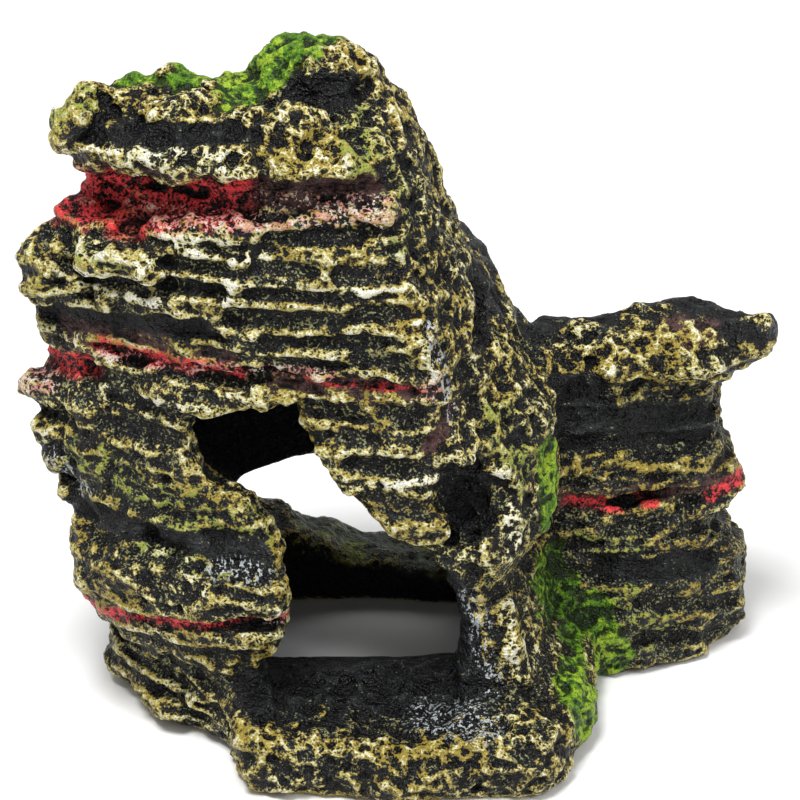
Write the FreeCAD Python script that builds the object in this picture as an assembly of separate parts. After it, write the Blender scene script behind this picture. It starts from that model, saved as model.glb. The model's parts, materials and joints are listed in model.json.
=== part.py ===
"""Hollow rock cave ornament for an aquarium, as separately cast polyresin rocks bonded together.

The frame is in millimetres: +X to the right, +Y to the back, +Z up. Outlines are plan views (x, y) at a
height z, and fronts are elevations (x, z), drawn from the mouth's own centre line. The finished rocks
are then moved together so that the origin is under the middle of the ornament, on the surface it
stands on. All rock faces are flat facets between the points.
"""

import FreeCAD, Part
import os

V = FreeCAD.Vector

# Driving dimensions
FAR = 200.0  # beyond the ornament on every side, for cutting blocks
FOOT_TOP = 13.0  # bed between the foot ring and the rocks on it
WAIST = 37.0  # bed on top of the boulder and the pillar
SEAM = 64.0  # lower red groove
CAP_SEAM = 96.0  # upper red groove
BED_DIP = -0.03  # fall of the upper beds, per mm to the right
SPINE_FOOT_X = 11.5  # where the strata slab meets the rough flank, at the waist
SPINE_LEAN = -0.2  # how the spine leans left, per mm of height
REAR_Y = 8.0  # bond plane between the front and rear rocks
SILL_Y = -6.0  # bond plane behind the front sill
SILL_X = -25.0  # bond plane between the front sill and the left foot slab
MOUTH_TOP_X = -18.0  # bond plane over the mouth's apex, between the left column and the curtain
WING_FOOT_TOP = 24.0  # bed on top of the wing's foot
WING_CAP_SEAM = 53.0  # bed under the wing's cap

# The crag's outer skin. Each outline starts at the left tip and runs along the front to the spine, round
# the flank and back along the rear: tip, 5 front points, flank, right, rear right, rear, rear left.
CRAG = {
    0: [(-49, 2), (-41, -14), (-28, -22), (-24, -37), (3, -40), (26, -38),
        (33, -20), (36, 4), (32, 30), (4, 40), (-32, 37)],
    5: [(-51, -1), (-43, -14), (-29, -23), (-25, -38), (3, -41), (27, -39),
        (34, -20), (36, 4), (32, 30), (4, 41), (-33, 37)],
    11: [(-50, -1), (-43, -13), (-29, -23), (-25, -37), (3, -39), (27, -38),
        (33, -19), (35, 4), (31, 30), (2, 39), (-33, 37)],
    13: [(-49, -3), (-42, -12), (-28, -22), (-24, -25), (3, -24), (22, -26),
        (29, -18), (32, 3), (29, 29), (0, 38), (-34, 36)],
    19: [(-55, -4), (-46, -16), (-33, -24), (-20, -26), (3, -23), (19, -24),
        (25, -15), (28, 3), (28, 28), (0, 37), (-36, 34)],
    30: [(-58, -3), (-48, -18), (-33, -26), (-19, -28), (3, -24), (16, -23),
        (20, -12), (25, 4), (26, 28), (0, 36), (-38, 32)],
    37: [(-55, -3), (-45, -14), (-33, -20), (-20, -22), (3, -25), (18, -24),
        (27, -9), (28, 5), (27, 27), (0, 36), (-40, 31)],
    46: [(-60, 0), (-49, -10), (-35, -17), (-20, -21), (2, -26), (17, -24),
        (27, -8), (28, 6), (27, 27), (0, 35), (-42, 30)],
    57: [(-65, 2), (-53, -8), (-37, -16), (-20, -20), (-2, -24), (12, -25),
        (26, -8), (26, 7), (24, 26), (-2, 34), (-44, 28)],
    64: [(-60, 2), (-50, -7), (-35, -14), (-20, -18), (-4, -22), (8, -23),
        (21, -7), (22, 8), (18, 24), (-4, 33), (-43, 27)],
    74: [(-61, 1), (-51, -8), (-35, -15), (-21, -19), (-6, -22), (6, -23),
        (16, -7), (17, 8), (15, 24), (-6, 32), (-43, 26)],
    79: [(-61, 0), (-51, -9), (-35, -16), (-22, -19), (-8, -22), (4, -22),
        (12, -8), (13, 8), (10, 23), (-8, 30), (-43, 25)],
    90: [(-56, 0), (-47, -9), (-34, -16), (-23, -18), (-11, -20), (1, -19),
        (7.5, -7), (8, 7), (6, 20), (-12, 27), (-42, 22)],
    97: [(-51, 1), (-43, -5), (-34, -11), (-24, -14), (-14, -16), (-1, -16),
        (5.5, -6), (6.5, 7), (4, 17), (-14, 23), (-39, 18)],
    104: [(-56, 0), (-47, -9), (-36, -16), (-26, -18), (-17, -18), (-6, -17),
        (3.5, -6), (4, 6), (2, 14), (-16, 18), (-41, 14)],
    109: [(-54, 1), (-46, -5), (-36, -11), (-28, -13), (-21, -12), (-10, -10),
        (0.5, -5), (1.5, 5), (0, 10), (-17, 11), (-41, 8)],
    111: [(-51, 1), (-45, -2), (-37, -5), (-29, -7), (-22, -6), (-12, -6),
        (-4, -4), (-3, 3), (-4, 7), (-18, 6), (-41, 4)],
}

# The cave inside: left, 4 front points, right, rear right, rear, rear left. It is open underneath.
CAVE = {
    -5: [(-38, 8), (-34, 0), (-20, -2), (5, -2), (20, 0), (24, 8), (20, 23), (-4, 26), (-27, 25)],
    6: [(-39, 7), (-35, -1), (-20, -2), (5, -2), (20, -1), (24, 8), (20, 23), (-4, 26), (-28, 25)],
    12: [(-40, 6), (-36, -7), (-21, -18), (4, -19), (18, -12),
        (22, 6), (19, 23), (-4, 26), (-28, 24)],
    30: [(-46, 3), (-40, -9), (-24, -17), (0, -16), (11, -13),
        (18, 5), (16, 22), (-3, 26), (-30, 23)],
    50: [(-51, 4), (-44, -4), (-30, -10), (-5, -16), (9, -15),
        (18, 5), (17, 20), (-5, 26), (-35, 21)],
    68: [(-50, 5), (-42, -2), (-30, -7), (-10, -13), (3, -13),
        (12, 5), (10, 17), (-8, 23), (-35, 19)],
    82: [(-42, 6), (-36, 0), (-28, -5), (-14, -9), (-4, -8), (3, 5), (1, 14), (-12, 18), (-32, 15)],
    89: [(-30, 7), (-27, 3), (-22, 0), (-15, -1), (-10, 1),
        (-8, 6), (-9, 10), (-16, 12), (-25, 11)],
}

# Front elevation of the mouth, from its apex down the curtain and the pillar, along the sill and
# up the left.
MOUTH = [
    (-19, 67), (-15, 61), (-11, 54), (-7, 48), (1, 42), (7, 37), (10, 29), (11, 20), (9, 12),
    (-20, 12), (-22, 17), (-18, 26), (-19, 38), (-24, 46), (-32, 50), (-34, 57), (-30, 63),
]
MOUTH_FLARE = 1.12  # the mouth's front over its back
MOUTH_Y = (-60.0, 0.0)  # where the mouth's passage starts and ends
# Rear elevation of the low window in the rear wall.
WINDOW = [
    (-30, 18), (-28, 27), (-16, 31), (0, 32), (12, 27), (17, 17),
    (11, 10), (4, 8), (-6, 9), (-12, 13), (-20, 16),
]
WINDOW_FLARE = 1.15
WINDOW_Y = (60.0, 18.0)

# The summit rock, from its bed to its blunt top.
SUMMIT = {
    102: [(-29, -5), (-20, -8), (-9, -7), (0, -3), (2, 6), (-4, 13), (-18, 15), (-28, 10)],
    109: [(-27, -4), (-19, -6), (-9, -6), (0, -3), (1, 6), (-4, 12), (-18, 14), (-26, 8)],
    115: [(-22, -1), (-18, -4), (-9, -5), (-4, -2), (-3, 5), (-7, 10), (-15, 12), (-21, 7)],
    118: [(-19, 1), (-15, -1), (-10, -2), (-7, 0), (-6, 4), (-9, 7), (-14, 8), (-18, 5)],
}

# The wing's outer skin: 4 points along its front from the crag to the tip, then back along the rear.
WING = {
    0: [(22, 0), (40, 0), (52, 6), (61, 13), (63, 25), (57, 35), (44, 39), (22, 36)],
    14: [(22, 0), (41, -1), (53, 5), (63, 12), (64, 24), (58, 35), (44, 40), (22, 36)],
    24: [(22, 2), (40, 3), (48, 7), (55, 13), (58, 24), (52, 33), (43, 36), (22, 34)],
    32: [(22, 3), (41, 4), (52, 8), (63, 12), (62, 19), (54, 32), (43, 36), (22, 34)],
    38: [(22, 4), (39, 6), (49, 9), (58, 13), (59, 22), (52, 31), (42, 35), (22, 33)],
    53: [(20, 4), (38, 6), (48, 9), (57, 13), (58, 22), (51, 30), (41, 33), (20, 32)],
    60: [(20, 6), (39, 5), (54, 7), (67, 12), (66, 18), (55, 27), (42, 24), (20, 17)],
    64: [(37, 11), (41, 9), (50, 9), (62, 12), (60, 17), (50, 24), (43, 21), (37, 17)],
}

# Round hollows weathered into the rough flank: centre and radius.
FLANK_HOLLOWS = [((16, -26, 49), 7.5), ((12, -25, 50), 5.0)]


def outward(solid):
    """The solid with its faces pointing outward."""
    if solid.Volume < 0:
        solid.reverse()
    return solid


def facets(outlines):
    """A closed solid with flat facets through plan outlines, given as {height: points}."""
    levels = sorted(outlines)
    rings = [[V(x, y, z) for x, y in outlines[z]] for z in levels]
    count = len(rings[0])
    faces = [Part.Face(Part.makePolygon(ring + ring[:1])) for ring in (rings[0], rings[-1])]
    for low, high in zip(rings, rings[1:]):
        for i in range(count):
            j = (i + 1) % count
            for corners in ((low[i], low[j], high[j]), (low[i], high[j], high[i])):
                faces.append(Part.Face(Part.makePolygon([*corners, corners[0]])))
    return outward(Part.Solid(Part.makeShell(faces)))


def tunnel(front, y_start, y_end, flare):
    """A passage through a wall from elevation points, flare times as large at y_start as at y_end."""
    middle_x = sum(x for x, z in front) / len(front)
    middle_z = sum(z for x, z in front) / len(front)

    def ring(y, scale):
        return [V(middle_x + (x - middle_x) * scale, y, middle_z + (z - middle_z) * scale) for x, z in front]

    start, end = ring(y_start, flare), ring(y_end, 1.0)
    faces = [Part.Face(Part.makePolygon(points + points[:1])) for points in (start, end)]
    for i in range(len(front)):
        j = (i + 1) % len(front)
        faces.append(Part.Face(Part.makePolygon([start[i], start[j], end[j], end[i], start[i]])))
    return outward(Part.Solid(Part.makeShell(faces)))


def block(front, y_low=-FAR, y_high=FAR):
    """A cutting block from an elevation (x, z), between two depths."""
    points = [V(x, y_low, z) for x, z in front]
    face = Part.Face(Part.makePolygon(points + points[:1]))
    return face.extrude(V(0, y_high - y_low, 0))


def band(z_low, z_high, dip_low=0.0, dip_high=0.0):
    """Everything between two beds, each with its own dip."""
    return block([
        (-FAR, z_low - FAR * dip_low), (FAR, z_low + FAR * dip_low),
        (FAR, z_high + FAR * dip_high), (-FAR, z_high - FAR * dip_high),
    ])


def left_of(x, z_of_x=0.0, lean=0.0):
    """Everything left of a plane through (x, z_of_x) that leans by lean mm to the right per mm up."""
    return block([
        (-FAR, -FAR), (x + lean * (-FAR - z_of_x), -FAR), (x + lean * (FAR - z_of_x), FAR), (-FAR, FAR),
    ])


def crag_shell():
    """The main crag as one hollow shell, before it is split at its beds."""
    shell = facets(CRAG).cut(facets(CAVE))
    shell = shell.cut(tunnel(MOUTH, *MOUTH_Y, MOUTH_FLARE))
    shell = shell.cut(tunnel(WINDOW, *WINDOW_Y, WINDOW_FLARE))
    for centre, radius in FLANK_HOLLOWS:
        shell = shell.cut(Part.makeSphere(radius, V(*centre)))
    return shell


def crag_rocks():
    """The crag's castings, split at the bedding planes, the spine and the rear bond plane."""
    shell = crag_shell()
    front = Part.makeBox(2 * FAR, FAR + REAR_Y, 2 * FAR, V(-FAR, -FAR, -FAR))
    spine_left = left_of(SPINE_FOOT_X, WAIST, SPINE_LEAN)
    foot = band(-FAR, FOOT_TOP)
    lower = band(FOOT_TOP, WAIST)
    middle = band(WAIST, SEAM, 0.0, BED_DIP)
    upper = band(SEAM, CAP_SEAM, BED_DIP, BED_DIP)
    top = band(CAP_SEAM, FAR, BED_DIP, 0.0)
    sill_front = Part.makeBox(2 * FAR, FAR + SILL_Y, 2 * FAR, V(-FAR, -FAR, -FAR))
    sill_left = left_of(SILL_X)
    mouth_left = left_of(MOUTH_TOP_X)
    summit_zone = facets(SUMMIT)

    foot_ring = shell.common(foot)
    rocks = {
        "front_sill": foot_ring.common(sill_front).cut(sill_left),
        "left_foot_slab": foot_ring.common(front).common(sill_left),
        "left_boulder": shell.common(lower).common(front).common(mouth_left),
        "right_pillar": shell.common(lower).common(front).cut(mouth_left),
        "left_column": shell.common(middle).common(front).common(mouth_left),
        "hanging_curtain": shell.common(middle).common(front).common(spine_left).cut(mouth_left),
        "strata_slab": shell.common(upper).common(front).common(spine_left),
        "cap_slab": shell.common(top).common(front).common(spine_left).cut(summit_zone),
        "rough_flank": shell.common(band(WAIST, FAR)).common(front).cut(spine_left).cut(summit_zone),
        "rear_arch": shell.common(band(FOOT_TOP, SEAM)).cut(front),
        "rear_crest": shell.common(band(SEAM, FAR)).cut(front).cut(summit_zone),
    }
    rocks["rear_sill"] = foot_ring.cut(rocks["front_sill"]).cut(rocks["left_foot_slab"])
    rocks["summit_rock"] = summit_zone
    return rocks


def wing_rocks():
    """The wing's three castings, fitted against the crag."""
    wing = facets(WING).cut(facets(CRAG)).cut(facets(CAVE))
    return {
        "wing_foot": wing.common(band(-FAR, WING_FOOT_TOP)),
        "wing_block": wing.common(band(WING_FOOT_TOP, WING_CAP_SEAM)),
        "wing_cap": wing.common(band(WING_CAP_SEAM, FAR)),
    }


def tidy(shape):
    """Keeps the solids of a shape, joined into one where they touch."""
    solids = [s for s in shape.removeSplitter().Solids if s.Volume > 1.0]
    return solids[0] if len(solids) == 1 else Part.makeCompound(solids)


def main():
    os.makedirs("parts", exist_ok=True)
    rocks = {**crag_rocks(), **wing_rocks()}
    whole = FreeCAD.BoundBox()
    for shape in rocks.values():
        whole.add(shape.BoundBox)
    to_origin = V(-whole.Center.x, -whole.Center.y, -whole.ZMin)
    for name, shape in rocks.items():
        shape = tidy(shape)
        shape.translate(to_origin)
        shape.exportStep(f"parts/{name}.step")
        print(name, "solids", len(shape.Solids), "faces", len(shape.Faces),
              "volume_cm3", round(shape.Volume / 1000, 2), "valid", shape.isValid())
    print("size", round(whole.XLength, 2), round(whole.YLength, 2), round(whole.ZLength, 2))


main()
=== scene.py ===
"""The looks of a resin rock-cave ornament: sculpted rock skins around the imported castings, and their paint.

Every rock is carved in one shared distance field, so that neighbouring castings meet without a step.
Lengths inside the carving code are in millimetres; the finished meshes are in metres.
"""

import json
import math

import bpy
import numpy as np
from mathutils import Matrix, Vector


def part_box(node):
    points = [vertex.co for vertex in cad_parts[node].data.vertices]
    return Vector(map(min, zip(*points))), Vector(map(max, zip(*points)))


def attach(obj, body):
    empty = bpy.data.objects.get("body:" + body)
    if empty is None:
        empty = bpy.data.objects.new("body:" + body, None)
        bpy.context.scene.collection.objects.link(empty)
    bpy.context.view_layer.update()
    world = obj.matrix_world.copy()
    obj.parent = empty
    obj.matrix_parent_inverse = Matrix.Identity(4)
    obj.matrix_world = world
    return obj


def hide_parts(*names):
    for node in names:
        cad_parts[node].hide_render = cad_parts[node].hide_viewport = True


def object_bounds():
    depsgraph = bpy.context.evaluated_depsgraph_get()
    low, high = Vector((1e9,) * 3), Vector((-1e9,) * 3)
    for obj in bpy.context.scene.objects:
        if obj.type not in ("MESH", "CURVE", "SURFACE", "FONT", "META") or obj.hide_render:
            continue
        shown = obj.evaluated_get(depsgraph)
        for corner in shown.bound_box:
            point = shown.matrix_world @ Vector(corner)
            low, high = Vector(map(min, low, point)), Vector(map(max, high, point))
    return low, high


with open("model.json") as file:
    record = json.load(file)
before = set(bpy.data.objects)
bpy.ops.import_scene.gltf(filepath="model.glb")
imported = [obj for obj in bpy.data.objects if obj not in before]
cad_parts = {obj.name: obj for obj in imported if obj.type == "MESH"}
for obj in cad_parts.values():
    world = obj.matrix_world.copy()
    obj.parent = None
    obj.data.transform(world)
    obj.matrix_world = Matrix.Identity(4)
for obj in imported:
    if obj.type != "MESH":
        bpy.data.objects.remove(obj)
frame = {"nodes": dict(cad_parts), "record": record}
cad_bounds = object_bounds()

import openvdb as vdb
from mathutils import Vector

MM = 0.001
VOXEL = 0.43  # edge of a carving cell
BAND = 4.4  # how far from a casting its distance is known
SKIN_BAND = 2.8  # the same for the shared skin
MARGIN = 5.2  # empty space kept around the castings
TABLE = 64  # lattice points per side in a random table, a power of two
BATCH = 200000  # points carved at a time

# How strongly each casting takes the bedded flutes and the crusty web.
BEDDED = {
    "front_sill": 0.3, "left_foot_slab": 1.0, "left_boulder": 0.5, "left_column": 0.45,
    "hanging_curtain": 0.7, "strata_slab": 1.0, "cap_slab": 0.35, "summit_rock": 0.0,
    "rough_flank": 0.0, "right_pillar": 0.15, "rear_sill": 0.5, "rear_arch": 0.5, "rear_crest": 0.45,
    "wing_foot": 0.9, "wing_block": 0.9, "wing_cap": 0.35,
}
CRUSTY = {
    "front_sill": 0.8, "left_foot_slab": 0.3, "left_boulder": 0.45, "left_column": 0.5,
    "hanging_curtain": 0.35, "strata_slab": 0.35, "cap_slab": 0.9, "summit_rock": 1.0,
    "rough_flank": 1.0, "right_pillar": 0.6, "rear_sill": 0.4, "rear_arch": 0.4, "rear_crest": 0.45,
    "wing_foot": 0.2, "wing_block": 0.3, "wing_cap": 0.8,
}


def on(casting, start, end, size):
    """A stroke that stays on one casting."""
    return (casting, *start), (casting, *end), size


# Sculpted places, each a rounded stroke from one point to another. A point is a casting and fractions of
# its box; the sizes are the stroke's half width across, half depth and half height, in millimetres.
HUMPS = [
    # the cap: left knob, the humps along its top edge, and its lower ledge
    on("cap_slab", (0.07, 0.60, 0.72), (0.10, 0.62, 0.88), (2.6, 3.6, 2.6)),
    on("cap_slab", (0.34, 0.42, 0.88), (0.46, 0.48, 0.90), (3, 3.5, 3.4)),
    on("cap_slab", (0.60, 0.30, 0.85), (0.76, 0.30, 0.86), (2.5, 3.5, 3)),
    on("cap_slab", (0.06, 0.50, 0.50), (0.30, 0.25, 0.66), (1.6, 2.4, 1)),
    on("cap_slab", (0.30, 0.25, 0.66), (0.56, 0.09, 0.66), (1.6, 2.2, 1.1)),
    on("cap_slab", (0.56, 0.09, 0.60), (0.86, 0.11, 0.58), (2, 2.4, 2)),
    # the mossy rock behind the cap
    on("cap_slab", (0.27, 0.85, 0.90), (0.36, 0.85, 0.94), (4, 4, 3.6)),
    on("cap_slab", (0.42, 0.80, 0.90), (0.58, 0.75, 0.95), (3.5, 3.5, 3.2)),
    # the slab: left knob, the lens beside it, the lip under the upper groove
    on("strata_slab", (0.055, 0.68, 0.58), (0.06, 0.63, 0.48), (3.6, 4, 3.4)),
    on("strata_slab", (0.17, 0.44, 0.66), (0.30, 0.30, 0.68), (2, 2.6, 1.6)),
    (("strata_slab", 0.50, 0.24, 0.90), ("cap_slab", 0.95, 0.09, 0.06), (1.6, 2.4, 1)),
    on("cap_slab", (0.97, 0.10, 0.08), (0.97, 0.10, 0.10), (2.2, 2.6, 2)),
    # the lip over the mouth, the left column's tip, the boulder's nose
    on("left_column", (0.52, 0.36, 0.90), (0.74, 0.22, 0.90), (1.6, 2.4, 1.4)),
    (("left_column", 0.74, 0.22, 0.90), ("strata_slab", 0.66, 0.12, 0.08), (1.6, 2.2, 1.2)),
    on("left_column", (0.05, 0.78, 0.70), (0.14, 0.68, 0.75), (1.6, 2.4, 1.3)),
    on("left_boulder", (0.86, 0.10, 0.80), (0.95, 0.12, 0.74), (2.4, 2.8, 3)),
    # the wing's ledge and its top rocks
    on("wing_block", (0.18, 0.08, 0.57), (0.80, 0.26, 0.47), (1.5, 2.2, 1.2)),
    (("wing_block", 0.34, 0.05, 0.10), ("wing_foot", 0.76, 0.30, 0.97), (1.5, 2.2, 1.1)),
    on("wing_cap", (0.10, 0.30, 0.78), (0.26, 0.30, 0.88), (2.8, 4, 2.4)),
    on("wing_cap", (0.46, 0.35, 0.85), (0.66, 0.35, 0.85), (3, 4, 2.4)),
    on("wing_cap", (0.86, 0.32, 0.90), (0.93, 0.32, 0.93), (2, 3.5, 1.6)),
    on("wing_cap", (0.36, 0.06, 0.52), (0.74, 0.12, 0.48), (1.4, 2.2, 1.2)),
    on("right_pillar", (0.46, 0.16, 0.62), (0.52, 0.10, 0.22), (1.5, 2.4, 2)),
    # the outer edges of the left column, the boulder and the feet
    on("left_column", (0.11, 0.70, 0.54), (0.20, 0.62, 0.14), (1.6, 2, 3)),
    on("left_boulder", (0.12, 0.61, 0.90), (0.14, 0.50, 0.60), (1.8, 2.2, 3)),
    on("left_foot_slab", (0.14, 0.70, 0.58), (0.50, 0.46, 0.26), (1.8, 1.8, 2.2)),
    on("wing_foot", (0.40, 0.08, 0.14), (0.78, 0.22, 0.13), (2, 2, 2.6)),
    # shelves and bosses across the back
    on("rear_crest", (0.09, 0.40, 0.12), (0.80, 0.80, 0.10), (3, 2.4, 1.8)),
    on("rear_crest", (0.25, 0.62, 0.50), (0.68, 0.66, 0.44), (4, 2.6, 3.2)),
    on("rear_arch", (0.10, 0.30, 0.55), (0.45, 0.86, 0.62), (3.5, 2.2, 2.4)),
    on("rear_arch", (0.70, 0.84, 0.66), (0.88, 0.70, 0.50), (3.5, 2.6, 3.4)),
    on("rear_arch", (0.29, 0.90, 0.18), (0.32, 0.87, 0.36), (3.4, 2.4, 2.6)),
    on("wing_block", (0.30, 0.98, 0.52), (0.76, 0.88, 0.60), (2.5, 2.2, 1.8)),
]
HOLLOWS = [
    # the upper groove, under the cap, and the lower one
    on("strata_slab", (0.00, 0.90, 0.88), (0.30, 0.48, 0.95), (4, 4, 4.2)),
    (("strata_slab", 0.30, 0.48, 0.96), ("cap_slab", 0.60, 0.04, 0.24), (3.6, 3.8, 3.4)),
    on("cap_slab", (0.60, 0.04, 0.24), (0.99, 0.03, 0.30), (4, 4, 2.6)),
    on("left_column", (0.00, 0.92, 0.88), (0.29, 0.50, 0.96), (2.6, 2.2, 2.2)),
    on("strata_slab", (0.19, 0.46, 0.15), (0.52, 0.19, 0.13), (2, 1.9, 1.6)),
    on("strata_slab", (0.52, 0.19, 0.13), (0.95, 0.03, 0.15), (2, 1.7, 1.4)),
    # the cap's notch and holes
    on("cap_slab", (0.17, 0.55, 1.02), (0.26, 0.42, 0.90), (2, 3, 2.2)),
    on("cap_slab", (0.55, 0.07, 0.68), (0.57, 0.07, 0.66), (1.3, 1.6, 1.3)),
    on("cap_slab", (0.63, 0.05, 0.63), (0.64, 0.05, 0.60), (1.2, 1.6, 1.4)),
    on("cap_slab", (0.84, 0.14, 0.66), (0.84, 0.14, 0.68), (1, 1.5, 1)),
    on("summit_rock", (0.46, 0.10, 0.70), (0.70, 0.12, 0.74), (2.4, 2.6, 2.8)),
    # the slab's crevice
    on("strata_slab", (0.35, 0.26, 0.72), (0.36, 0.24, 0.50), (1, 2.4, 1.2)),
    on("strata_slab", (0.12, 0.52, 0.62), (0.18, 0.45, 0.44), (1.2, 2, 1.2)),
    # the left column's recess and round hollow
    on("left_column", (0.06, 0.78, 0.58), (0.20, 0.54, 0.62), (3, 3.4, 2.1)),
    on("left_column", (0.19, 0.63, 0.20), (0.22, 0.60, 0.18), (2, 2.8, 1.6)),
    # the boulder's seam and its three holes
    on("left_boulder", (0.04, 0.62, 0.18), (0.30, 0.30, 0.37), (1.8, 2, 1.1)),
    on("left_boulder", (0.30, 0.30, 0.37), (0.55, 0.12, 0.48), (1.8, 1.5, 0.9)),
    on("left_boulder", (0.55, 0.12, 0.48), (1.00, 0.08, 0.56), (1.8, 1.5, 0.9)),
    on("left_column", (0.52, 0.20, 0.03), (0.53, 0.20, 0.02), (1.5, 2.4, 1.3)),
    on("left_boulder", (0.50, 0.28, 1.00), (0.51, 0.28, 0.99), (1.2, 2.2, 1.1)),
    on("left_boulder", (0.55, 0.25, 0.98), (0.56, 0.25, 0.97), (1.1, 2, 1)),
    # the curtain's slanting flute, the flank's hollow and dark facet
    (("hanging_curtain", 0.78, 0.07, 0.76), ("rough_flank", 0.42, 0.06, 0.37), (1.7, 2, 1.4)),
    on("rough_flank", (0.48, 0.06, 0.18), (0.52, 0.10, 0.12), (5.2, 4.2, 7)),
    on("rough_flank", (0.56, 0.72, 0.55), (0.58, 0.50, 0.49), (2.6, 4, 3)),
    # the sill's hole, the wing's holes and its two grooves
    on("front_sill", (0.89, 0.13, 0.68), (0.89, 0.13, 0.70), (1.6, 1.8, 1.5)),
    on("wing_cap", (0.28, 0.03, 0.60), (0.29, 0.03, 0.60), (1.6, 2, 1.3)),
    on("wing_cap", (0.44, 0.04, 0.17), (0.45, 0.04, 0.16), (1.4, 1.8, 1.1)),
    on("wing_block", (0.20, 0.04, 0.32), (0.90, 0.24, 0.27), (2, 1.9, 1.7)),
    # the nips in the outline: the slab's outer end, the wing under its cap and over its foot
    on("strata_slab", (0.02, 0.88, 0.56), (0.02, 0.88, 0.80), (2.6, 4, 4)),
    on("wing_block", (0.93, 0.40, 0.60), (0.93, 0.40, 0.90), (4.4, 9, 4)),
    on("wing_foot", (0.94, 0.41, 0.95), (0.94, 0.41, 0.98), (4.8, 9, 2.2)),
    # a groove across the wing's back
    on("wing_block", (0.30, 0.99, 0.30), (0.80, 0.90, 0.28), (2.5, 2, 1.6)),
]
# Long shallow flutes with rounded ends, smooth inside.
FLUTES = [
    on("strata_slab", (0.61, 0.20, 0.87), (0.83, 0.17, 0.88), (1.6, 5, 1.5)),
    on("strata_slab", (0.37, 0.24, 0.71), (0.49, 0.20, 0.71), (1.7, 5, 1.7)),
    on("strata_slab", (0.37, 0.24, 0.59), (0.49, 0.18, 0.60), (1.7, 5, 1.7)),
    on("strata_slab", (0.58, 0.15, 0.73), (0.72, 0.09, 0.73), (1.5, 5, 1.5)),
    on("strata_slab", (0.78, 0.08, 0.71), (0.91, 0.10, 0.71), (2.2, 5, 2.2)),
    on("strata_slab", (0.56, 0.15, 0.59), (0.80, 0.07, 0.61), (1.4, 5, 1.4)),
    on("strata_slab", (0.52, 0.16, 0.46), (0.76, 0.05, 0.49), (2.3, 5, 2.3)),
    on("strata_slab", (0.59, 0.13, 0.35), (0.88, 0.03, 0.39), (1.5, 5, 1.5)),
    on("strata_slab", (0.83, 0.03, 0.29), (0.93, 0.01, 0.30), (1.6, 5, 1.6)),
    on("strata_slab", (0.60, 0.13, 0.24), (0.78, 0.05, 0.26), (1.3, 5, 1.3)),
    on("strata_slab", (0.06, 0.66, 0.28), (0.42, 0.22, 0.38), (2.4, 5, 2.4)),
    on("strata_slab", (0.82, 0.05, 0.52), (0.93, 0.06, 0.53), (1.8, 5, 1.8)),
    on("left_column", (0.36, 0.42, 0.66), (0.62, 0.24, 0.66), (2.2, 5, 2.2)),
    on("hanging_curtain", (0.42, 0.12, 0.42), (0.84, 0.04, 0.40), (2.6, 5, 2.6)),
    on("hanging_curtain", (0.36, 0.18, 0.66), (0.72, 0.08, 0.66), (2, 5, 2)),
    on("wing_block", (0.17, 0.08, 0.90), (0.80, 0.28, 0.80), (2.2, 5, 2.2)),
    on("wing_block", (0.15, 0.08, 0.72), (0.80, 0.27, 0.64), (1.7, 5, 1.7)),
    on("wing_foot", (0.34, 0.09, 0.88), (0.80, 0.24, 0.76), (2.2, 5, 2.2)),
    on("wing_foot", (0.50, 0.09, 0.62), (0.90, 0.30, 0.40), (2, 5, 2)),
    on("wing_foot", (0.50, 0.09, 0.34), (0.85, 0.28, 0.14), (1.8, 5, 1.8)),
    on("left_boulder", (0.30, 0.30, 0.20), (0.90, 0.06, 0.30), (1.6, 5, 1.6)),
    on("rear_crest", (0.20, 0.62, 0.28), (0.60, 0.78, 0.28), (2.2, 5, 2.2)),
    on("rear_crest", (0.36, 0.60, 0.62), (0.60, 0.60, 0.58), (2.2, 5, 2.2)),
    on("rear_arch", (0.20, 0.60, 0.78), (0.48, 0.82, 0.80), (2.4, 5, 2.4)),
    on("rear_arch", (0.58, 0.90, 0.80), (0.84, 0.74, 0.82), (2, 5, 2)),
    on("rear_arch", (0.20, 0.60, 0.46), (0.34, 0.84, 0.48), (2.2, 5, 2.2)),
    on("rear_arch", (0.80, 0.80, 0.30), (0.92, 0.72, 0.26), (2.2, 5, 2.6)),
    on("wing_block", (0.30, 0.99, 0.30), (0.72, 0.91, 0.28), (2, 5, 2)),
    on("wing_foot", (0.33, 0.93, 0.72), (0.69, 0.90, 0.60), (2.2, 5, 2.2)),
]

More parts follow.
